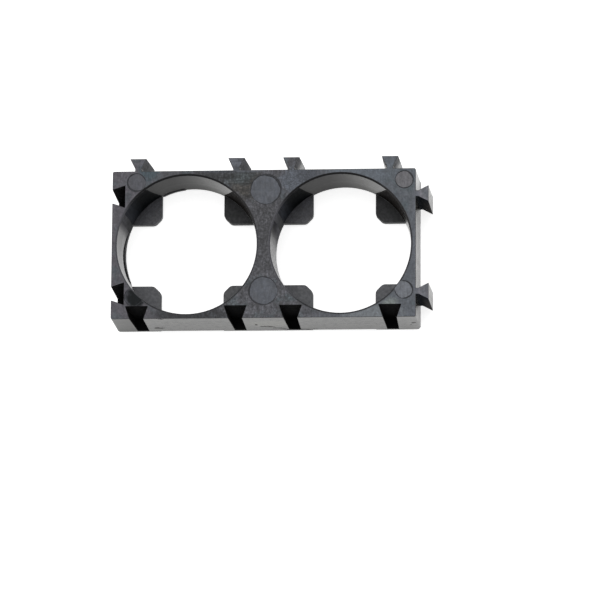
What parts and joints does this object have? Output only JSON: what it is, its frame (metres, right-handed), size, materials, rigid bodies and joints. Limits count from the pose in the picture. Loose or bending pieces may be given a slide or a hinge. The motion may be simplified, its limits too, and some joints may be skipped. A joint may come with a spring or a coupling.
{
  "type": "battery cell holder bracket",
  "caption": "Flat moulded spacer with round cell bores side by side, rear stop tabs with strip channels between them, and dovetail tongues and sockets that join it to its neighbours.",
  "frame": {"origin": "centre of the footprint, tongues included, on the rear face, which carries the stop tabs and the strip channels", "axes": "+Z from the rear face to the front face, where the cells enter; +X along the row of cells, towards the end with tongues; +Y across the row, towards the long side with tongues"},
  "size_m": [0.0422, 0.0218, 0.0085],
  "materials": {
    "black_plastic": "semi-gloss moulded black ABS, faint flow and ejector marks"
  },
  "bodies": {
    "root": {"holder_frame": "black_plastic"}
  },
  "joints": []
}
